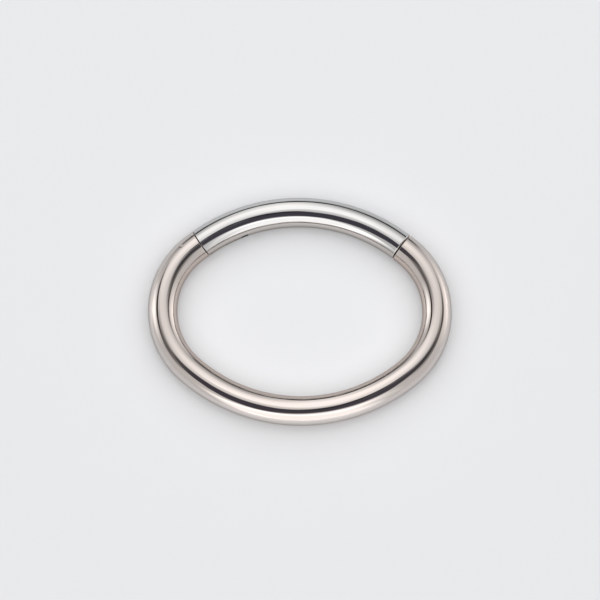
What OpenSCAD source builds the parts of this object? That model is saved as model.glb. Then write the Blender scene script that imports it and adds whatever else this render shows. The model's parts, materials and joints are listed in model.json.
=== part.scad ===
// Hinged segment ring for a piercing: a round wire bent to an oval, with a segment that swings open.
// Millimetres. The ring lies flat on z = 0, its long way along X, its middle at the origin.
// The segment is the middle of the far side (+Y). It hinges at its right end and clasps at its left end.

/* [Oval] */
// Half the length of the wire's centre line, along X
half_long = 5.584; // [4.5:0.002:8]
// Half the width of the wire's centre line, along Y
half_short = 4.126; // [3.5:0.002:6]

/* [Wire] */
// Thickness of the round wire
wire_d = 1.2; // [1:0.1:1.6]

/* [Segment] */
// Angle from the segment's middle to the hinge joint, about the centre of the flat curve
hinge_half_angle = 37.25; // [30:0.05:40]
// Angle from the segment's middle to the clasp joint
clasp_half_angle = 36.6; // [30:0.05:40]
// Gap at the hinge joint
hinge_gap = 0.05; // [0.05:0.005:0.1]
// Gap at the clasp joint
clasp_gap = 0.035; // [0.03:0.005:0.1]
// Turn of the clasp joint's cut away from square across the wire
clasp_skew = 2.6; // [0:0.1:12]
// Lean of the clasp joint's cut away from upright
clasp_lean = 12; // [0:0.5:15]
// Broken edge at both joints
edge_bevel = 0.03; // [0.02:0.01:0.06]

/* [Clasp tongue] */
// Thickness of the flat tongue
tongue_t = 0.2; // [0.15:0.01:0.4]
// Depth of the tongue, from the inside of the ring outwards
tongue_depth = 0.7; // [0.5:0.05:0.8]
// Angle from the segment's middle to the tongue's tip
tongue_tip_angle = 22.9; // [18:0.1:30]
// Angle from the segment's middle to the end of the tongue's slot
tongue_slot_angle = 20.3; // [15:0.1:28]
// Play between the tongue and its slot
tongue_play = 0.03; // [0.02:0.01:0.06]

/* [Hinge] */
// Diameter of the hinge pin
pin_d = 0.3; // [0.25:0.01:0.35]
// Distance of the pin from the segment's end
pin_back = 0.75; // [0.6:0.01:0.85]
// Distance of the pin from the wire's middle, towards the outside of the ring
pin_out = 0.3; // [0.26:0.01:0.32]
// Height that the pin reaches above the wire's middle
pin_reach = 0.32; // [0.25:0.01:0.34]
// Tightness of the pin in the segment, on the radius
pin_press = 0.002; // [0:0.001:0.005]
// Running play of the pin in the hinge blade, on the radius
pin_play = 0.02; // [0.01:0.005:0.05]
// Thickness of the hinge blade
blade_t = 0.34; // [0.25:0.01:0.4]
// Radius of the hinge blade's rounded end
blade_r = 0.29; // [0.25:0.01:0.29]
// Play between the hinge blade and its slot
blade_play = 0.03; // [0.02:0.01:0.05]

/* [Hidden] */
wire_r = wire_d / 2;
// The oval is four arcs that meet smoothly: an end curve each side, a flat curve front and back.
// Their centres are the corners of triangles with sides of 48, 55 and 73 of this unit, so the
// arcs meet exactly where the lines through two centres cross the wire.
unit = (half_long - half_short) / 30;
end_x = 48 * unit;
flat_y = 55 * unit;
end_r = half_long - end_x;
flat_r = half_short + flat_y;
// Joints, as angles about the centre of the far flat curve
hinge_angle = 90 - hinge_half_angle;
clasp_angle = 90 + clasp_half_angle;
// Reaches past the wire: close by, past the bend's end, past the segment's middle, and above and below
near = 1;
past_bend = 1.5;
past_middle = 4.6;
inside = 3;
above = 2.5;
// Unit of the larger triangles, whose sides pass the wire
far = 0.2;
// How far a tongue or blade is rooted in the ring, and how far it stays below the wire's surface
root = 0.4;
root_angle = 4;
shy = 0.01;
// Overlap of a cutting tool past the face that it cuts
over = 0.01;
$fn = 96;

// A whole hoop of wire about a centre
module hoop(centre, bend_r, r) {
  translate([centre[0], centre[1], wire_r])
    rotate_extrude()
      translate([bend_r, 0])
        circle(r = r);
}

// The part of a hoop between the two lines from its centre
module bend(centre, bend_r, line_a, line_b, r = wire_r) {
  intersection() {
    hoop(centre, bend_r, r);
    translate([0, 0, -near])
      linear_extrude(height = wire_d + 2 * near)
        polygon([centre, centre + line_a, centre + line_b]);
  }
}

// Lines through the centres, long enough to pass the wire
steep = [48 * far, 55 * far];
fall = [48 * far, -55 * far];

module far_bend(r = wire_r) {
  bend([0, -flat_y], flat_r, steep, [-steep[0], steep[1]], r);
}

module oval_wire() {
  far_bend();
  bend([end_x, 0], end_r, steep, fall);
  bend([0, flat_y], flat_r, fall, -steep);
  bend([-end_x, 0], end_r, -steep, -fall);
}

// A flat band in the ring's mid plane, about the far flat curve's centre
module flat_band(inner, outer, from, to, thick) {
  translate([0, -flat_y, wire_r])
    rotate([0, 0, from])
      rotate_extrude(angle = to - from)
        translate([inner, -thick / 2])
          square([outer - inner, thick]);
}

// Places a shape at a joint: x points outwards, y points along the wire anticlockwise
module at_joint(angle) {
  translate([flat_r * cos(angle), flat_r * sin(angle) - flat_y, wire_r])
    rotate([0, 0, angle])
      children();
}

module at_hinge() {
  at_joint(hinge_angle)
    children();
}

module at_clasp() {
  at_joint(clasp_angle)
    rotate([0, 0, -clasp_skew])
      rotate([-clasp_lean, 0, 0])
        mirror([0, 1, 0])
          children();
}

// All of the wire past a joint's face
module past_face(gap, reach) {
  translate([-inside, -gap / 2, -above])
    cube([inside + near, reach, 2 * above]);
}

// Cuts the broken edge of a joint's face
module edge_cutter(gap) {
  translate([0, gap / 2, 0])
    rotate([-90, 0, 0])
      difference() {
        translate([0, 0, -over])
          cylinder(h = edge_bevel + 2 * over, r = near);
        translate([0, 0, -2 * over])
          cylinder(h = edge_bevel + 4 * over, r1 = wire_r - edge_bevel - 2 * over, r2 = wire_r + 2 * over);
      }
}

module blade_outline() {
  translate([pin_out, hinge_gap / 2 + pin_back])
    circle(r = blade_r);
  translate([pin_out - blade_r, -root])
    square([2 * blade_r, root + hinge_gap / 2 + pin_back]);
}

module blade_slot_outline() {
  slot_r = blade_r + blade_play;
  translate([pin_out, hinge_gap / 2 + pin_back])
    circle(r = slot_r);
  translate([pin_out - slot_r, -near])
    square([slot_r + near, near + hinge_gap / 2 + pin_back]);
  translate([pin_out, -near])
    square([near, near + hinge_gap / 2 + pin_back + slot_r]);
}

module at_pin() {
  at_hinge()
    translate([pin_out, hinge_gap / 2 + pin_back, 0])
      children();
}

module hinge_blade() {
  difference() {
    intersection() {
      at_hinge()
        translate([0, 0, -blade_t / 2])
          linear_extrude(height = blade_t)
            blade_outline();
      far_bend(wire_r - shy);
    }
    at_pin()
      cylinder(h = 2 * near, r = pin_d / 2 + pin_play, center = true);
  }
}

module clasp_tongue() {
  intersection() {
    flat_band(flat_r - wire_r, flat_r - wire_r + tongue_depth,
              90 + tongue_tip_angle, clasp_angle + root_angle, tongue_t);
    far_bend(wire_r - shy);
  }
}

module ring_body() {
  color([0.8, 0.78, 0.77])
    union() {
      difference() {
        oval_wire();
        at_hinge()
          past_face(hinge_gap, past_middle);
        at_clasp()
          past_face(clasp_gap, past_middle);
        at_hinge()
          mirror([0, 1, 0])
            edge_cutter(hinge_gap);
        at_clasp()
          mirror([0, 1, 0])
            edge_cutter(clasp_gap);
      }
      hinge_blade();
      clasp_tongue();
    }
}

module segment() {
  color([0.86, 0.86, 0.86])
    difference() {
      far_bend();
      at_hinge()
        mirror([0, 1, 0])
          past_face(hinge_gap, past_bend);
      at_clasp()
        mirror([0, 1, 0])
          past_face(clasp_gap, past_bend);
      at_hinge()
        edge_cutter(hinge_gap);
      at_clasp()
        edge_cutter(clasp_gap);
      at_hinge()
        translate([0, 0, -blade_t / 2 - blade_play])
          linear_extrude(height = blade_t + 2 * blade_play)
            blade_slot_outline();
      flat_band(flat_r - wire_r - near, flat_r - wire_r + tongue_depth + tongue_play,
                90 + tongue_slot_angle, clasp_angle + 2 * root_angle, tongue_t + 2 * tongue_play);
      at_pin()
        translate([0, 0, -near])
          cylinder(h = near + pin_reach + over, r = pin_d / 2 - pin_press);
    }
}

module hinge_pin() {
  color([0.74, 0.74, 0.75])
    intersection() {
      at_pin()
        translate([0, 0, -near])
          cylinder(h = near + pin_reach, r = pin_d / 2);
      far_bend(wire_r - shy);
    }
}

ring_body();
segment();
hinge_pin();
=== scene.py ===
import json
import math

import bmesh
import bpy
import numpy as np
from mathutils import Matrix, Vector


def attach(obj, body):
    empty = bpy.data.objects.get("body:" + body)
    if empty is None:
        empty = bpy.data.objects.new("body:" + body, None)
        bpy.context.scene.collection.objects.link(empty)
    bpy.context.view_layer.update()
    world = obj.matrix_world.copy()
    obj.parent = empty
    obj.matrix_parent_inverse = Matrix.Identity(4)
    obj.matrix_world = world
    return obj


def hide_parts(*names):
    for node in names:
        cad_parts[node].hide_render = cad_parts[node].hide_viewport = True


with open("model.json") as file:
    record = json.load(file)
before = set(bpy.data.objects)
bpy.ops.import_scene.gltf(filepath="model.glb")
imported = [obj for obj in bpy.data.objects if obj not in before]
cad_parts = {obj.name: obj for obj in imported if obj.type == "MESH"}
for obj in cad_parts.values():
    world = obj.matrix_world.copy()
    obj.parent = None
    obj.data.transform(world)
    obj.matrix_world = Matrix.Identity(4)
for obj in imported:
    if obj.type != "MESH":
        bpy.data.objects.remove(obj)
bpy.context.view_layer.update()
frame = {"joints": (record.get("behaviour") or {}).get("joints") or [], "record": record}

# Every shape is made in millimetres and shrunk to metres when it is finished.
PER_METRE = 1000.0
seat = Vector(frame["record"]["mounts"][0]["pos_m"]) * PER_METRE
pin_place = Vector(frame["joints"][0]["pos_m"]) * PER_METRE

# The round wire and the oval that its centre line follows
WIRE_R = seat.z
HALF_SHORT = -seat.y
HALF_LONG = 5.584
# The oval is four arcs that meet on lines with sides of 48, 55 and 73 units.
UNIT = (HALF_LONG - HALF_SHORT) / 30
END_X = 48 * UNIT
FLAT_Y = 55 * UNIT
END_R = HALF_LONG - END_X
FLAT_R = HALF_SHORT + FLAT_Y
FLAT_LIMIT = 48 / 73
MEET = math.atan2(55, 48)

# Joints, as angles about the centre of the far flat arc
HINGE_ANGLE = math.radians(52.75)
CLASP_ANGLE = math.radians(126.6)
HINGE_GAP = 0.05
CLASP_GAP = 0.035
CLASP_SKEW = math.radians(2.6)
CLASP_LEAN = math.radians(12)
# How far the edges at the joints are rounded
HINGE_ROUNDING = 0.015
SEGMENT_HINGE_ROUNDING = 0.045
CLASP_ROUNDING = 0.02

# Tongue at the clasp end, and its slot in the segment
TONGUE_T = 0.2
TONGUE_DEPTH = 0.7
TONGUE_PLAY = 0.03
TONGUE_TIP = math.radians(112.9)
TONGUE_ROOT = CLASP_ANGLE + math.radians(4)
SLOT_END = math.radians(110.3)
SLOT_MOUTH = CLASP_ANGLE + math.radians(8)
# Where the thinner wire that trims the tongue starts and stops
CLASP_CORE = (math.radians(108), math.radians(135.8))

# Hinge blade, its slot in the segment, and the pin
BLADE_T = 0.34
BLADE_R = 0.29
BLADE_PLAY = 0.03
BLADE_ROOT = 0.4
PIN_R = 0.15
PIN_PRESS = 0.002
PIN_PLAY = 0.02
PIN_REACH = 0.32
# Where the thinner wire that trims the blade and the pin starts and stops
HINGE_CORE = (math.radians(44.5), math.radians(66))
# How far what is trimmed stays below the wire's surface, and how far cutting shapes reach past the wire
SHY = 0.01
REACH = 1.0

# Fineness of the meshes
SIDES = 72
BODY_ROWS = 420
SEGMENT_ROWS = 130
CORE_ROWS = 60
FILLET_ROWS = 4
ARC_STEP = math.radians(1.0)
SMOOTH_ANGLE = math.radians(38)
MERGE = 0.00001
# A face is part of the round wire where its corners are this near to the wire's surface and it faces
# away from the wire's middle.
ON_WIRE = 0.0016
FACING_AWAY = 0.9


class Field:
    """A value that a node tree works out: arithmetic on it adds Math nodes to the tree."""

    def __init__(self, tree, socket):
        self.tree = tree
        self.socket = socket

    def math(self, operation, *others):
        node = self.tree.nodes.new("ShaderNodeMath")
        node.operation = operation
        for socket, value in zip(node.inputs, (self, *others)):
            feed(self.tree, value, socket)
        return Field(self.tree, node.outputs[0])

    def __add__(self, other):
        return self.math("ADD", other)

    def __sub__(self, other):
        return self.math("SUBTRACT", other)

    def __mul__(self, other):
        return self.math("MULTIPLY", other)

    def __truediv__(self, other):
        return self.math("DIVIDE", other)

    def mix(self, other, share):
        """This value where share is 0 and the other where it is 1."""
        return self + (other - self) * share

    def clamped(self):
        return self.math("MAXIMUM", 0.0).math("MINIMUM", 1.0)

    def fall(self, start, end):
        """1 below start, 0 above end, and a soft step between."""
        node = self.tree.nodes.new("ShaderNodeMapRange")
        node.interpolation_type = "SMOOTHSTEP"
        for name, value in zip(
            ("Value", "From Min", "From Max", "To Min", "To Max"),
            (self, start, end, 1.0, 0.0),
        ):
            feed(self.tree, value, node.inputs[name])
        return Field(self.tree, node.outputs[0])


def feed(tree, value, socket):
    """Links a field or a socket into a socket, or sets a plain value there."""
    if isinstance(value, Field):
        tree.links.new(value.socket, socket)
    elif isinstance(value, bpy.types.NodeSocket):
        tree.links.new(value, socket)
    else:
        socket.default_value = value


def add_node(tree, kind, **inputs):
    """A node of that kind with its inputs fed, named with _ for a space."""
    node = tree.nodes.new(kind)
    for name, value in inputs.items():
        feed(tree, value, node.inputs[name.replace("_", " ")])
    return node


def split_vector(tree, vector):
    node = add_node(tree, "ShaderNodeSeparateXYZ", Vector=vector)
    return [Field(tree, output) for output in node.outputs]


def join_vector(tree, x, y, z):
    node = add_node(tree, "ShaderNodeCombineXYZ", X=x, Y=y, Z=z)
    return Field(tree, node.outputs[0])


def new_group(name, kind, inputs, outputs):
    """An empty node group with those sockets, and a reader of its inputs."""
    tree = bpy.data.node_groups.new(name, kind)
    for direction, sockets in (("INPUT", inputs), ("OUTPUT", outputs)):
        for label, socket_kind in sockets:
            tree.interface.new_socket(name=label, in_out=direction, socket_type="NodeSocket" + socket_kind)
    given = tree.nodes.new("NodeGroupInput")

    def read(label):
        return Field(tree, given.outputs[label])

    return tree, read


def group_output(tree, **values):
    add_node(tree, "NodeGroupOutput", **values)


def wire_tree():
    """The rule for a bent wire: a grid is rolled into a tube round the oval and closed at both ends."""
    numbers = [
        (label, "Float")
        for label in (
            "Wire radius",
            "From",
            "From gap",
            "From rounding",
            "From slope out",
            "From slope up",
            "To",
            "To gap",
            "To rounding",
            "To slope out",
            "To slope up",
        )
    ]
    counts = [("Rows", "Int"), ("Sides", "Int")]
    tree, read = new_group(
        "bent_wire",
        "GeometryNodeTree",
        [*numbers, *counts, ("Material", "Material")],
        [("Geometry", "Geometry")],
    )
    grid = add_node(
        tree,
        "GeometryNodeMeshGrid",
        Size_X=1.0,
        Size_Y=1.0,
        Vertices_X=read("Rows"),
        Vertices_Y=read("Sides"),
    )
    place = tree.nodes.new("GeometryNodeInputPosition")
    along, around, _ = split_vector(tree, place.outputs[0])
    last = read("Rows") - 1.0
    row = ((along + 0.5) * last).math("ROUND")
    turn = (around + 0.5) * math.tau - math.pi / 2

    # The rows next to an end turn the wire's edge over into the flat end face.
    to_end = row.math("MINIMUM", last - row)
    roll = (to_end * -1.0 + (FILLET_ROWS + 1)) * (math.pi / 2 / FILLET_ROWS)
    roll = roll.math("MAXIMUM", 0.0).math("MINIMUM", math.pi / 2)
    rounding = read("From rounding").mix(read("To rounding"), along.math("GREATER_THAN", 0.0))
    inset = (roll.math("SINE") * -1.0 + 1.0) * rounding
    radius = read("Wire radius") - (roll.math("COSINE") * -1.0 + 1.0) * rounding
    radius = radius * to_end.math("GREATER_THAN", 0.5)
    outward = radius * turn.math("COSINE")
    upward = radius * turn.math("SINE")

    # Where each line along the wire starts and stops: the end faces may be skewed and may lean.
    ends = {}
    for end in ("From", "To"):
        tilt = outward * read(end + " slope out") + upward * read(end + " slope up")
        reach = (read(end + " gap") * 0.5 + inset + tilt) / (outward + FLAT_R)
        ends[end] = reach.math("ARCSINE")
    start = read("From") + ends["From"]
    stop = read("To") - ends["To"]
    share = (row - (FILLET_ROWS + 1.0)) / (last - 2.0 * (FILLET_ROWS + 1.0))
    angle = start.mix(stop, share.clamped())

    # The flat arcs run where the oval faces mostly forwards or back, the end arcs elsewhere.
    cosine = angle.math("COSINE")
    sine = angle.math("SINE")
    flat = cosine.math("ABSOLUTE").math("LESS_THAN", FLAT_LIMIT)
    centre_x = (cosine.math("SIGN") * END_X).mix(cosine * 0.0, flat)
    centre_y = sine.math("SIGN") * flat * -FLAT_Y
    bend_r = (flat * (FLAT_R - END_R) + END_R) + outward
    x = centre_x + bend_r * cosine
    y = centre_y + bend_r * sine

    # A map that unrolls the wire, in millimetres along and round it, for the polishing lines
    spread = join_vector(
        tree,
        (along + 0.5) * (read("To") - read("From")) * FLAT_R,
        (around + 0.5) * read("Wire radius") * math.tau,
        0.0,
    )
    store = add_node(tree, "GeometryNodeStoreNamedAttribute", Geometry=grid.outputs["Mesh"], Name="unrolled")
    store.data_type = "FLOAT2"
    store.domain = "CORNER"
    feed(tree, spread, [s for s in store.inputs if s.name == "Value" and s.enabled][0])
    bent = add_node(
        tree,
        "GeometryNodeSetPosition",
        Geometry=store.outputs["Geometry"],
        Position=join_vector(tree, x, y, upward + WIRE_R),
    )
    closed = add_node(tree, "GeometryNodeMergeByDistance", Geometry=bent.outputs["Geometry"], Distance=MERGE)
    real = add_node(tree, "GeometryNodeRealizeInstances", Geometry=closed.outputs["Geometry"])
    dressed = add_node(
        tree,
        "GeometryNodeSetMaterial",
        Geometry=real.outputs["Geometry"],
        Material=read("Material"),
    )
    group_output(tree, Geometry=dressed.outputs["Geometry"])
    return tree


def new_object(name, mesh):
    piece = bpy.data.objects.new(name, mesh)
    bpy.context.scene.collection.objects.link(piece)
    return piece


def plain_mesh(piece):
    """Turns what the piece's modifiers make into its own mesh, and removes them."""
    depsgraph = bpy.context.evaluated_depsgraph_get()
    made = piece.evaluated_get(depsgraph)
    mesh = bpy.data.meshes.new_from_object(made, preserve_all_data_layers=True, depsgraph=depsgraph)
    piece.modifiers.clear()
    piece.data = mesh
    mesh.name = piece.name
    return piece


def bend_wire(name, tree, **sizes):
    """A closed length of wire along the oval, made by the tree from those sizes."""
    piece = new_object(name, bpy.data.meshes.new(name))
    modifier = piece.modifiers.new("bent_wire", "NODES")
    modifier.node_group = tree
    for item in tree.interface.items_tree:
        if item.in_out == "INPUT":
            modifier[item.identifier] = sizes[item.name.replace(" ", "_")]
    return plain_mesh(piece)


def prism(name, outline, low, high):
    """An upright solid over a flat outline that runs anticlockwise, from one height to another."""
    form = bmesh.new()
    floor_points = [form.verts.new((x, y, low)) for x, y in outline]
    roof_points = [form.verts.new((x, y, high)) for x, y in outline]
    form.faces.new(list(reversed(floor_points)))
    form.faces.new(roof_points)
    for i in range(len(outline)):
        j = (i + 1) % len(outline)
        form.faces.new((floor_points[i], floor_points[j], roof_points[j], roof_points[i]))
    mesh = bpy.data.meshes.new(name)
    form.to_mesh(mesh)
    form.free()
    return new_object(name, mesh)


def arc(centre, radius, start, stop):
    """Points on an arc, both ends included."""
    steps = max(2, math.ceil(abs(stop - start) / ARC_STEP))
    angles = [start + (stop - start) * i / steps for i in range(steps + 1)]
    return [(centre[0] + radius * math.cos(a), centre[1] + radius * math.sin(a)) for a in angles]


def combine(piece, tool, operation):
    """Cuts, joins or keeps what both share, and takes the tool away."""
    modifier = piece.modifiers.new(operation, "BOOLEAN")
    modifier.operation = operation
    modifier.solver = "EXACT"
    modifier.object = tool
    plain_mesh(piece)
    bpy.data.objects.remove(tool)
    return piece


def at_hinge(points):
    """Moves flat points from the hinge joint's own frame, outwards and along the wire, to the ring's."""
    turn = Matrix.Rotation(HINGE_ANGLE, 2)
    middle = Vector((math.cos(HINGE_ANGLE), math.sin(HINGE_ANGLE))) * FLAT_R - Vector((0, FLAT_Y))
    return [tuple(middle + turn @ Vector(p)) for p in points]


def pin_in_joint():
    """The pin's place in the hinge joint's own frame."""
    turn = Matrix.Rotation(-HINGE_ANGLE, 2)
    middle = Vector((math.cos(HINGE_ANGLE), math.sin(HINGE_ANGLE))) * FLAT_R - Vector((0, FLAT_Y))
    return turn @ (pin_place.xy - middle)


def flat_band(name, inner, outer, start, stop, thickness):
    """A flat band in the ring's mid plane, round the centre of the far flat arc."""
    middle = (0, -FLAT_Y)
    outline = arc(middle, outer, start, stop) + arc(middle, inner, stop, start)
    return prism(name, outline, WIRE_R - thickness / 2, WIRE_R + thickness / 2)


def core_wire(tree, start, stop):
    """A stretch of wire, thinner by the shy, that trims what has to stay just below the surface."""
    return bend_wire(
        "core",
        tree,
        Wire_radius=WIRE_R - SHY,
        From=start,
        From_gap=0.0,
        From_rounding=HINGE_ROUNDING,
        From_slope_out=0.0,
        From_slope_up=0.0,
        To=stop,
        To_gap=0.0,
        To_rounding=HINGE_ROUNDING,
        To_slope_out=0.0,
        To_slope_up=0.0,
        Rows=CORE_ROWS,
        Sides=SIDES + 1,
        Material=None,
    )


def hinge_blade(tree):
    """The flat rounded blade that the ring's hinge end carries into the segment."""
    pin = pin_in_joint()
    outline = [
        (pin.x - BLADE_R, -BLADE_ROOT),
        (pin.x + BLADE_R, -BLADE_ROOT),
        *arc(pin, BLADE_R, 0, math.pi),
    ]
    blade = prism("hinge_blade", at_hinge(outline), WIRE_R - BLADE_T / 2, WIRE_R + BLADE_T / 2)
    combine(blade, core_wire(tree, *HINGE_CORE), "INTERSECT")
    bore = prism("bore", arc(pin_place, PIN_R + PIN_PLAY, 0, math.tau)[:-1], -REACH, WIRE_R + REACH)
    return combine(blade, bore, "DIFFERENCE")


def clasp_tongue(tree):
    """The flat tongue that the ring's clasp end carries into the segment."""
    inner = FLAT_R - WIRE_R
    tongue = flat_band("clasp_tongue", inner - SHY, inner + TONGUE_DEPTH, TONGUE_TIP, TONGUE_ROOT, TONGUE_T)
    return combine(tongue, core_wire(tree, *CLASP_CORE), "INTERSECT")


def blade_slot():
    """What the hinge blade and its swing need, open to the outside of the ring and to the end face."""
    pin = pin_in_joint()
    r = BLADE_R + BLADE_PLAY
    outline = [
        (pin.x - r, -REACH),
        (pin.x + REACH, -REACH),
        (pin.x + REACH, pin.y + r),
        (pin.x, pin.y + r),
        *arc(pin, r, math.pi / 2, math.pi)[1:],
    ]
    half = BLADE_T / 2 + BLADE_PLAY
    return prism("blade_slot", at_hinge(outline), WIRE_R - half, WIRE_R + half)


def tongue_slot():
    """What the tongue needs, open to the inside of the ring and to the end face."""
    inner = FLAT_R - WIRE_R
    outer = inner + TONGUE_DEPTH + TONGUE_PLAY
    return flat_band("tongue_slot", inner - REACH, outer, SLOT_END, SLOT_MOUTH, TONGUE_T + 2 * TONGUE_PLAY)


def nearest_normals(points):
    """For points near the wire's surface: the direction away from the centre line, and how far off it."""
    side = np.sign(points[:, :2])
    folded = np.abs(points[:, :2])
    flat = np.arctan2(folded[:, 1] + FLAT_Y, folded[:, 0]) > MEET
    centre = np.where(flat[:, None], [[0.0, -FLAT_Y]], [[END_X, 0.0]])
    bend_r = np.where(flat, FLAT_R, END_R)
    away = folded - centre
    away /= np.linalg.norm(away, axis=1)[:, None]
    middle = (centre + away * bend_r[:, None]) * side
    out = np.column_stack([points[:, :2] - middle, points[:, 2] - WIRE_R])
    reach = np.linalg.norm(out, axis=1)
    return out / reach[:, None], reach


def finish_surface(piece, material):
    """Marks the cut faces, gives the wire its true normals, and shrinks the piece to metres."""
    mesh = piece.data
    form = bmesh.new()
    form.from_mesh(mesh)
    bmesh.ops.remove_doubles(form, verts=form.verts, dist=MERGE)
    bmesh.ops.dissolve_degenerate(form, edges=form.edges, dist=MERGE)
    form.to_mesh(mesh)
    form.free()
    mesh.materials.clear()
    mesh.materials.append(material)
    mesh.polygons.foreach_set("use_smooth", [True] * len(mesh.polygons))
    mesh.set_sharp_from_angle(angle=SMOOTH_ANGLE)

    points = np.zeros(len(mesh.vertices) * 3)
    mesh.vertices.foreach_get("co", points)
    points = points.reshape(-1, 3)
    true, reach = nearest_normals(points)
    on_wire = (np.abs(reach - WIRE_R) < ON_WIRE) | (np.abs(reach - WIRE_R + SHY) < ON_WIRE)
    corners = np.zeros(len(mesh.loops), int)
    mesh.loops.foreach_get("vertex_index", corners)
    normals = np.zeros(len(mesh.loops) * 3)
    mesh.corner_normals.foreach_get("vector", normals)
    normals = normals.reshape(-1, 3)
    cut = np.zeros(len(mesh.loops), np.float32)
    for face in mesh.polygons:
        span = slice(face.loop_start, face.loop_start + face.loop_total)
        own = corners[span]
        middle = true[own].mean(0)
        if on_wire[own].all() and middle.dot(face.normal) > FACING_AWAY:
            normals[span] = true[own]
        else:
            cut[span] = 1.0
    mesh.normals_split_custom_set(normals.tolist())
    mark = mesh.attributes.new("cut", "FLOAT", "CORNER")
    mark.data.foreach_set("value", cut)
    mesh.transform(Matrix.Scale(1 / PER_METRE, 4))
    return piece


def polishing_lines():
    """Fine lines that run along the first way of a map; their length and number are in the map's unit."""
    tree, read = new_group(
        "polishing_lines",
        "ShaderNodeTree",
        [("Map", "Vector"), ("Lines per unit", "Float"), ("Length", "Float")],
        [("Height", "Float")],
    )
    x, y, _ = split_vector(tree, read("Map"))
    vector = join_vector(tree, x / read("Length"), y * read("Lines per unit"), 0.0)
    fine = add_node(tree, "ShaderNodeTexNoise", Vector=vector, Scale=1.0, Detail=3.0, Roughness=0.6)
    group_output(tree, Height=fine.outputs[0])
    return tree


# The noise is full haze above the first and clear polish below the second.
HAZE_EDGE = (0.62, 0.4)


def handling_haze():
    """Soft clouds where the polish is a little duller."""
    tree, read = new_group(
        "handling_haze",
        "ShaderNodeTree",
        [("Place", "Vector"), ("Clouds per metre", "Float")],
        [("Mask", "Float")],
    )
    cloud = add_node(
        tree,
        "ShaderNodeTexNoise",
        Vector=read("Place"),
        Scale=read("Clouds per metre"),
        Detail=2.0,
        Roughness=0.5,
    )
    mask = Field(tree, cloud.outputs[0]).fall(*HAZE_EDGE)
    group_output(tree, Mask=mask)
    return tree


def small_dent():
    """A tiny round dent in the polish at one place."""
    tree, read = new_group(
        "small_dent",
        "ShaderNodeTree",
        [("Place", "Vector"), ("Centre", "Vector"), ("Radius", "Float")],
        [("Height", "Float")],
    )
    gap = add_node(tree, "ShaderNodeVectorMath")
    gap.operation = "DISTANCE"
    feed(tree, read("Place"), gap.inputs[0])
    feed(tree, read("Centre"), gap.inputs[1])
    far = Field(tree, gap.outputs["Value"]) / read("Radius")
    group_output(tree, Height=far.fall(0.0, 1.0) * -1.0)
    return tree


GROUPS = {}
# Each steel's tone where it is clear, and where it is hazy or ground
RING_TONES = ((0.698, 0.632, 0.596), (0.684, 0.626, 0.594))
SEGMENT_TONES = ((0.66, 0.654, 0.644), (0.643, 0.636, 0.626))
PIN_TONES = ((0.72, 0.72, 0.72), (0.66, 0.65, 0.64))
# Steel reflects less than its face does where it is seen almost edge on.
EDGE_TINT = (0.62, 0.6, 0.59)
# How far haze and cut faces go from the clear tone to the hazy one
HAZE_TONE = 0.7
CUT_TONE = 0.3
# Roughness of the clear polish, and what haze, polishing lines and cut faces add to it
POLISH_ROUGHNESS = 0.02
HAZE_ROUGHNESS = 0.02
LINE_ROUGHNESS = 0.03
CUT_ROUGHNESS = 0.22
# Polishing lines to the millimetre and their length in millimetres; the same for the cut faces' grinding
# marks, in metres; and the haze's clouds to the metre
LINES = (9.0, 5.0)
GRINDING = (30000.0, 0.0004)
CLOUDS_PER_METRE = 700.0
# Heights in micrometres, and that unit in metres
LINE_HEIGHT = 2.0
GRINDING_HEIGHT = 3.0
DENT_DEPTH = 20.0
MICROMETRE = 0.000001
# The one small dent, on the ring's outer side just past the clasp, in metres
DENT = (-0.004868, 0.002545, 0.001095)
DENT_R = 0.0001


def steel(name, clear, hazy, dent=None):
    """Mirror-polished steel with fine lines, a little haze, and ground cut faces."""
    material = bpy.data.materials.new(name)
    material.use_nodes = True
    tree = material.node_tree
    shader = tree.nodes["Principled BSDF"]
    shader.inputs["Metallic"].default_value = 1.0
    shader.inputs["Specular Tint"].default_value = (*EDGE_TINT, 1.0)
    place = add_node(tree, "ShaderNodeTexCoord").outputs["Object"]
    unrolled = tree.nodes.new("ShaderNodeUVMap")
    unrolled.uv_map = "unrolled"
    mark = tree.nodes.new("ShaderNodeAttribute")
    mark.attribute_name = "cut"
    cut = Field(tree, mark.outputs["Fac"])

    def group(kind, **inputs):
        node = tree.nodes.new("ShaderNodeGroup")
        node.node_tree = GROUPS[kind]
        for label, value in inputs.items():
            feed(tree, value, node.inputs[label.replace("_", " ")])
        return Field(tree, node.outputs[0])

    haze = group("handling_haze", Place=place, Clouds_per_metre=CLOUDS_PER_METRE)
    lines = group("polishing_lines", Map=unrolled.outputs[0], Lines_per_unit=LINES[0], Length=LINES[1])
    ground = group("polishing_lines", Map=place, Lines_per_unit=GRINDING[0], Length=GRINDING[1])

    colour = tree.nodes.new("ShaderNodeMix")
    colour.data_type = "RGBA"
    feed(tree, haze * HAZE_TONE + cut * CUT_TONE, colour.inputs[0])
    colour.inputs[6].default_value = (*clear, 1.0)
    colour.inputs[7].default_value = (*hazy, 1.0)
    feed(tree, colour.outputs[2], shader.inputs["Base Color"])
    worn = haze * HAZE_ROUGHNESS + lines * LINE_ROUGHNESS + cut * CUT_ROUGHNESS
    feed(tree, worn + POLISH_ROUGHNESS, shader.inputs["Roughness"])

    height = lines * LINE_HEIGHT + (ground - 0.5) * cut * GRINDING_HEIGHT
    if dent:
        height = height + group("small_dent", Place=place, Centre=dent, Radius=DENT_R) * DENT_DEPTH
    bump = add_node(tree, "ShaderNodeBump", Strength=1.0, Distance=MICROMETRE, Height=height)
    feed(tree, bump.outputs[0], shader.inputs["Normal"])
    return material


FLOOR_R = 1.5
FLOOR_SIDES = 64
FLOOR_TONE = (0.775, 0.783, 0.799)
FLOOR_ROUGHNESS = 0.2
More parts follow.
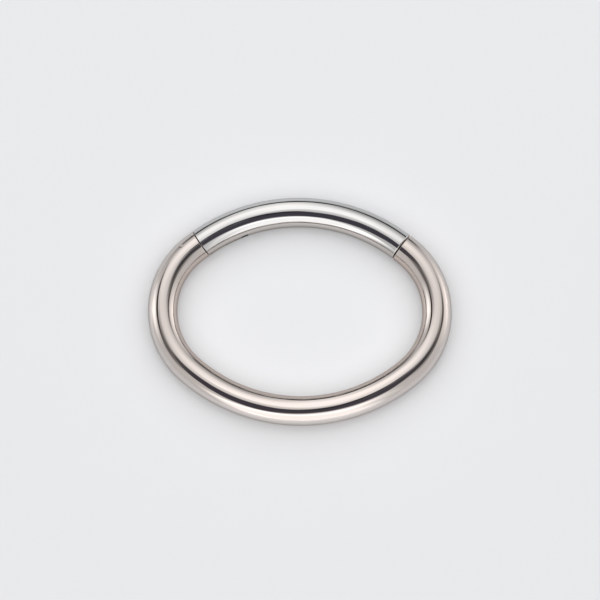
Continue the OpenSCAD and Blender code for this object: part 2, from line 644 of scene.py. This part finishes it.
# How much brighter the sheet's soft clouds are, and how many there are to the metre
FLOOR_CLOUD = 1.01
FLOOR_CLOUDS_PER_METRE = 400.0
# What the steel sees of the sheet's tone: a little dimmer and cooler outside the ring, and darker and warmer
# within it, which is painted shade seen only in the steel's reflections; and where the wire hides the step
FLOOR_OUTSIDE = (0.955, 0.98, 0.995)
FLOOR_PAINTED_SHADE_WITHIN = (0.795, 0.75, 0.722)
FLOOR_STEP = (0.8, 1.2)


def pale_floor():
    """A pale sheet that the ring lies on: plain to the camera, with painted shade within the ring in the
    steel's reflections.
    """
    material = bpy.data.materials.new("pale_sheet")
    material.use_nodes = True
    tree = material.node_tree
    shader = tree.nodes["Principled BSDF"]
    place = add_node(tree, "ShaderNodeTexCoord").outputs["Object"]
    cloud = add_node(tree, "ShaderNodeTexNoise", Vector=place, Scale=FLOOR_CLOUDS_PER_METRE, Detail=3.0)
    colour = tree.nodes.new("ShaderNodeMix")
    colour.data_type = "RGBA"
    feed(tree, cloud.outputs[0], colour.inputs[0])
    colour.inputs[6].default_value = (*FLOOR_TONE, 1.0)
    colour.inputs[7].default_value = (*[part * FLOOR_CLOUD for part in FLOOR_TONE], 1.0)
    x, y, _ = split_vector(tree, place)
    x = x * (PER_METRE / HALF_LONG)
    y = y * (PER_METRE / HALF_SHORT)
    # Painted shade: glossy rays see the sheet darker and warmer within the ring's oval, and a little dimmer
    # outside it.
    painted_shade_within = (x * x + y * y).fall(*FLOOR_STEP)
    seen = tree.nodes.new("ShaderNodeMix")
    seen.data_type = "RGBA"
    feed(tree, painted_shade_within, seen.inputs[0])
    seen.inputs[6].default_value = (*FLOOR_OUTSIDE, 1.0)
    seen.inputs[7].default_value = (*FLOOR_PAINTED_SHADE_WITHIN, 1.0)
    path = tree.nodes.new("ShaderNodeLightPath")
    in_steel = tree.nodes.new("ShaderNodeMix")
    in_steel.data_type = "RGBA"
    in_steel.blend_type = "MULTIPLY"
    feed(tree, path.outputs["Is Glossy Ray"], in_steel.inputs[0])
    feed(tree, colour.outputs[2], in_steel.inputs[6])
    feed(tree, seen.outputs[2], in_steel.inputs[7])
    feed(tree, in_steel.outputs[2], shader.inputs["Base Color"])
    shader.inputs["Roughness"].default_value = FLOOR_ROUGHNESS
    form = bmesh.new()
    bmesh.ops.create_circle(form, cap_ends=True, radius=FLOOR_R, segments=FLOOR_SIDES)
    mesh = bpy.data.meshes.new("floor")
    form.to_mesh(mesh)
    form.free()
    mesh.materials.append(material)
    floor = new_object("floor", mesh)


CARD_SIZES = ("Middle side", "Middle back", "Half width", "Half height", "Turn", "Soft", "Squareness")


def tent_card():
    """How much a soft-edged card covers of one direction: sideways and backwards, in degrees."""
    tree, read = new_group(
        "tent_card",
        "ShaderNodeTree",
        [(label, "Float") for label in ("Side", "Back", *CARD_SIZES)],
        [("Cover", "Float")],
    )
    side = read("Side") - read("Middle side")
    back = read("Back") - read("Middle back")
    cosine = read("Turn").math("COSINE")
    sine = read("Turn").math("SINE")
    power = read("Squareness")
    across = ((side * cosine + back * sine) / read("Half width")).math("ABSOLUTE").math("POWER", power)
    up = ((back * cosine - side * sine) / read("Half height")).math("ABSOLUTE").math("POWER", power)
    far = (across + up).math("POWER", power.math("POWER", -1.0))
    group_output(tree, Cover=far.fall(read("Soft") * -1.0 + 1.0, read("Soft") + 1.0))
    return tree


# Tints of the tent. The warm and the brown one are rounded from a program's fit of the cards' colours to
# the photograph, and the cream and the dusk one were set one by one.
NEUTRAL = (1.0, 1.0, 1.0)
WARM = (1.0, 0.955, 0.94)
CREAM = (1.0, 0.985, 0.98)
BROWN = (1.0, 0.62, 0.5)
DUSK = (1.0, 0.95, 1.2)
# How bright the tent's plain wall is
WALL = 0.68
# Cards of the light tent, later ones in front: the middle to the side and to the back in degrees from
# straight up, half width and half height, turn, how soft the edge is, how square, how bright, which tint.
# These numbers weren't chosen by hand: a program fitted a simple model of the reflections to the
# photograph's tones by least squares, and this is its result, rounded. Only some of the brightnesses
# were then set one by one. The wall above has the fit's brightness too.
CARDS = [
    ("shade behind the front sheet", 20, -79, 58, 32, -20, 0.23, 1.4, 0.01, NEUTRAL),
    ("left sheet", -72.5, 14, 13.5, 16.5, 44, 0.83, 5.1, 1.58, NEUTRAL),
    ("right sheet", 136, 64.5, 55, 65, -15, 0.56, 6, 1.92, WARM),
    ("top glow", -6, 42, 28.5, 27, 4, 0.98, 2.9, 1.47, CREAM),
    ("back streak", 2.3, 29.7, 6.2, 15.5, -7, 0.13, 1.4, 1.42, NEUTRAL),
    ("back left dark", -51.5, 66, 18.7, 25.5, 76, 0.98, 1.4, 0.48, NEUTRAL),
    ("back right dark", 28, 85.5, 27, 17, 88, 0.98, 6, 0.385, NEUTRAL),
    ("left arm", -43, 11, 7, 28.5, 9, 0.63, 1.45, 0.03, BROWN),
    ("right arm", 44.5, 7.5, 6.8, 24, -6, 0.98, 1.4, 0.04, BROWN),
    ("left lobe", -5.6, -22.4, 27, 18.3, -25, 0.05, 2.55, 0.065, DUSK),
    ("right lobe", 15.4, -15.8, 19, 12.4, 72, 0.25, 2.6, 0.07, DUSK),
    ("middle lobe", 4, -1.7, 7.7, 3.9, 67.5, 0.35, 6, 0.034, DUSK),
    ("left elbow", -32.8, -6.4, 14, 8.4, 46, 0.98, 6, 0.148, WARM),
    ("right elbow", 30.3, -6.6, 12.4, 8.5, 67, 0.75, 6, 0.075, WARM),
]
# The dark line between the table and the tent's back, in degrees: its angle from straight up and half
# height, where it fades out from and to at its left and right ends; then how soft and how bright it is.
# The right end and the softness were set one by one, and the rest comes from the same fit.
HORIZON = (86.6, 7)
HORIZON_LEFT = (41, 58)
HORIZON_RIGHT = (45, 50)
HORIZON_SOFT = 0.2
HORIZON_LEVEL = 0.01
# How much of the tent's light the steel throws on the floor
THROWN_LIGHT = 1.6
BACKDROP = (0.84, 0.845, 0.855)
# Keeps the direction straight up from being divided by nothing
ALMOST_NOTHING = 0.0001


def light_tent():
    """The world: a light tent seen by the steel, and a plain pale backdrop seen by the camera."""
    world = bpy.data.worlds.new("light_tent")
    bpy.context.scene.world = world
    world.use_nodes = True
    tree = world.node_tree
    tree.nodes.clear()
    toward = add_node(tree, "ShaderNodeTexCoord").outputs["Generated"]
    x, y, z = split_vector(tree, toward)
    from_top = z.math("ARCCOSINE") * (180 / math.pi)
    level = (x * x + y * y).math("SQRT").math("MAXIMUM", ALMOST_NOTHING)
    side = x / level * from_top
    back = y / level * from_top

    def lay(under, share, brightness, tint):
        mix = tree.nodes.new("ShaderNodeMix")
        mix.data_type = "RGBA"
        feed(tree, share, mix.inputs[0])
        feed(tree, under, mix.inputs[6])
        mix.inputs[7].default_value = (*[brightness * part for part in tint], 1.0)
        return mix.outputs[2]

    seen = lay((0.0, 0.0, 0.0, 1.0), 1.0, WALL, NEUTRAL)
    card = tent_card()
    for name, *sizes, brightness, tint in CARDS:
        node = tree.nodes.new("ShaderNodeGroup")
        node.node_tree = card
        node.label = name
        feed(tree, side, node.inputs["Side"])
        feed(tree, back, node.inputs["Back"])
        for label, value in zip(CARD_SIZES, sizes):
            node.inputs[label].default_value = math.radians(value) if label == "Turn" else value
        seen = lay(seen, Field(tree, node.outputs[0]), brightness, tint)
    angle, half_height = HORIZON
    far = (from_top - angle).math("ABSOLUTE")
    line = far.fall(half_height * (1 - HORIZON_SOFT), half_height * (1 + HORIZON_SOFT))
    line = line * (side * -1.0).fall(*HORIZON_LEFT) * side.fall(*HORIZON_RIGHT)
    line = line * back.math("GREATER_THAN", 0.0)
    seen = lay(seen, line, HORIZON_LEVEL, NEUTRAL)
    path = tree.nodes.new("ShaderNodeLightPath")
    off_floor = Field(tree, path.outputs["Diffuse Depth"]).clamped()
    strength = off_floor * (THROWN_LIGHT - 1) + 1.0
    steel_sees = add_node(tree, "ShaderNodeBackground", Color=seen, Strength=strength)
    camera_sees = add_node(tree, "ShaderNodeBackground", Color=(*BACKDROP, 1.0))
    either = tree.nodes.new("ShaderNodeMixShader")
    feed(tree, path.outputs["Is Camera Ray"], either.inputs[0])
    feed(tree, steel_sees.outputs[0], either.inputs[1])
    feed(tree, camera_sees.outputs[0], either.inputs[2])
    feed(tree, either.outputs[0], tree.nodes.new("ShaderNodeOutputWorld").inputs["Surface"])


# A white sheet that leans towards the ring close in front of it, in millimetres and degrees: the middle
# of the whole card, its full size, lean and turn; then the shares of its sides and top that fade out.
# All of it but the tint is worked out from the same fit.
SHEET_MIDDLE = (1.8, -43.9, 15.1)
SHEET_SIZE = (78.8, 61.2)
SHEET_LEAN = 28.8
SHEET_TURN = 26.7
SHEET_SIDE_FADE = (0.37, 1.0)
SHEET_TOP_FADE = (0.8, 1.0)
SHEET_LEVEL = 1.39
SHEET_TINT = (1.015, 1.01, 1.01)


def front_sheet():
    """The near sheet as a flat lamp: only the steel sees it."""
    data = bpy.data.lights.new("front_sheet", "AREA")
    data.shape = "RECTANGLE"
    data.size = SHEET_SIZE[0] / PER_METRE
    data.size_y = SHEET_SIZE[1] / PER_METRE
    data.energy = SHEET_LEVEL * math.pi * data.size * data.size_y
    data.use_nodes = True
    tree = data.node_tree
    across, up, _ = split_vector(tree, tree.nodes.new("ShaderNodeNewGeometry").outputs["Parametric"])
    cover = ((across - 0.5) * 2.0).math("ABSOLUTE").fall(*SHEET_SIDE_FADE) * up.fall(*SHEET_TOP_FADE)
    path = tree.nodes.new("ShaderNodeLightPath")
    off_floor = Field(tree, path.outputs["Diffuse Depth"]).clamped()
    shader = tree.nodes["Emission"]
    shader.inputs["Color"].default_value = (*SHEET_TINT, 1.0)
    feed(tree, cover * (off_floor * (THROWN_LIGHT - 1) + 1.0), shader.inputs["Strength"])
    lamp = bpy.data.objects.new("front_sheet", data)
    bpy.context.scene.collection.objects.link(lamp)
    facing = Matrix.Rotation(math.radians(90 - SHEET_LEAN), 4, "X")
    turned = Matrix.Rotation(math.radians(SHEET_TURN), 4, "Z")
    lamp.matrix_world = Matrix.Translation(Vector(SHEET_MIDDLE) / PER_METRE) @ facing @ turned
    lamp.visible_camera = False
    lamp.visible_diffuse = False


# The wide lamp above: radius, height and how far back it is, in metres, and its power in watts
SOFTBOX_R = 2.5
SOFTBOX_HEIGHT = 1.5
SOFTBOX_BACK = 0.2
SOFTBOX_WATTS = 87.5


def softbox():
    """A wide round lamp straight above that lights the floor; the steel sees the tent instead."""
    data = bpy.data.lights.new("softbox", "AREA")
    data.shape = "DISK"
    data.size = 2 * SOFTBOX_R
    data.energy = SOFTBOX_WATTS
    lamp = bpy.data.objects.new("softbox", data)
    bpy.context.scene.collection.objects.link(lamp)
    lamp.location = (0, SOFTBOX_BACK, SOFTBOX_HEIGHT)
    lamp.rotation_euler = (-math.atan2(SOFTBOX_BACK, SOFTBOX_HEIGHT), 0, 0)
    lamp.visible_camera = False
    lamp.visible_glossy = False
    bpy.context.scene.world.cycles_visibility.diffuse = False


# The photograph's frame in pixels, with the ring's middle in it, and the camera's place and sensor
PHOTO_PX = 600
PX_PER_MM = 24.571
MIDDLE_PX = (299.85, 311.5)
AZIMUTH = math.radians(0.93)
ELEVATION = math.radians(78)
DISTANCE = 0.3
SENSOR = 36.0
# What is this many times nearer or farther than the ring isn't drawn.
CLIP = 100


def photo_camera():
    """Looks down at the ring from the front, as steeply as the photograph does."""
    data = bpy.data.cameras.new("photo_camera")
    data.sensor_width = SENSOR
    data.lens = SENSOR * DISTANCE / (PHOTO_PX / PX_PER_MM / PER_METRE)
    data.clip_start = DISTANCE / CLIP
    data.clip_end = DISTANCE * CLIP
    camera = bpy.data.objects.new("photo_camera", data)
    bpy.context.scene.collection.objects.link(camera)
    away = Vector(
        (
            math.sin(AZIMUTH) * math.cos(ELEVATION),
            -math.cos(AZIMUTH) * math.cos(ELEVATION),
            math.sin(ELEVATION),
        )
    )
    turn = (-away).to_track_quat("-Z", "Y")
    right = turn @ Vector((1, 0, 0))
    up = turn @ Vector((0, 1, 0))
    to_right = (PHOTO_PX / 2 - MIDDLE_PX[0]) / PX_PER_MM / PER_METRE
    to_top = (MIDDLE_PX[1] - PHOTO_PX / 2) / PX_PER_MM / PER_METRE
    camera.location = Vector((0, 0, WIRE_R / PER_METRE)) + away * DISTANCE + right * to_right + up * to_top
    camera.rotation_mode = "QUATERNION"
    camera.rotation_quaternion = turn
    bpy.context.scene.camera = camera


def main():
    """Makes the three pieces of steel and what they are seen in."""
    GROUPS["polishing_lines"] = polishing_lines()
    GROUPS["handling_haze"] = handling_haze()
    GROUPS["small_dent"] = small_dent()
    ring_steel = steel("ring_steel", *RING_TONES, dent=DENT)
    segment_steel = steel("segment_steel", *SEGMENT_TONES)
    pin_steel = steel("pin_steel", *PIN_TONES)

    tree = wire_tree()
    skew = math.tan(CLASP_SKEW)
    lean = math.tan(CLASP_LEAN) / math.cos(CLASP_SKEW)
    common = {"Wire_radius": WIRE_R, "Sides": SIDES + 1}
    ring = bend_wire(
        "ring_wire",
        tree,
        From=CLASP_ANGLE,
        From_gap=CLASP_GAP,
        From_rounding=CLASP_ROUNDING,
        From_slope_out=-skew,
        From_slope_up=lean,
        To=HINGE_ANGLE + math.tau,
        To_gap=HINGE_GAP,
        To_rounding=HINGE_ROUNDING,
        To_slope_out=0.0,
        To_slope_up=0.0,
        Rows=BODY_ROWS,
        Material=ring_steel,
        **common,
    )
    combine(ring, hinge_blade(tree), "UNION")
    combine(ring, clasp_tongue(tree), "UNION")
    finish_surface(ring, ring_steel)

    segment = bend_wire(
        "segment_wire",
        tree,
        From=HINGE_ANGLE,
        From_gap=HINGE_GAP,
        From_rounding=SEGMENT_HINGE_ROUNDING,
        From_slope_out=0.0,
        From_slope_up=0.0,
        To=CLASP_ANGLE,
        To_gap=CLASP_GAP,
        To_rounding=CLASP_ROUNDING,
        To_slope_out=skew,
        To_slope_up=-lean,
        Rows=SEGMENT_ROWS,
        Material=segment_steel,
        **common,
    )
    combine(segment, blade_slot(), "DIFFERENCE")
    combine(segment, tongue_slot(), "DIFFERENCE")
    bore = prism("bore", arc(pin_place, PIN_R - PIN_PRESS, 0, math.tau)[:-1], -REACH, WIRE_R + PIN_REACH)
    combine(segment, bore, "DIFFERENCE")
    finish_surface(segment, segment_steel)

    pin = prism("hinge_pin_steel", arc(pin_place, PIN_R, 0, math.tau)[:-1], -REACH, WIRE_R + PIN_REACH)
    combine(pin, core_wire(tree, *HINGE_CORE), "INTERSECT")
    finish_surface(pin, pin_steel)

    for piece, body, node, slot in (
        (ring, "ring", "ring_body", "ring_steel"),
        (segment, "segment", "segment", "segment_steel"),
        (pin, "segment", "hinge_pin", "pin_steel"),
    ):
        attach(piece, body)
        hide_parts(node)

    pale_floor()
    light_tent()
    front_sheet()
    softbox()
    photo_camera()
    bpy.context.scene.view_settings.view_transform = "Standard"


main()
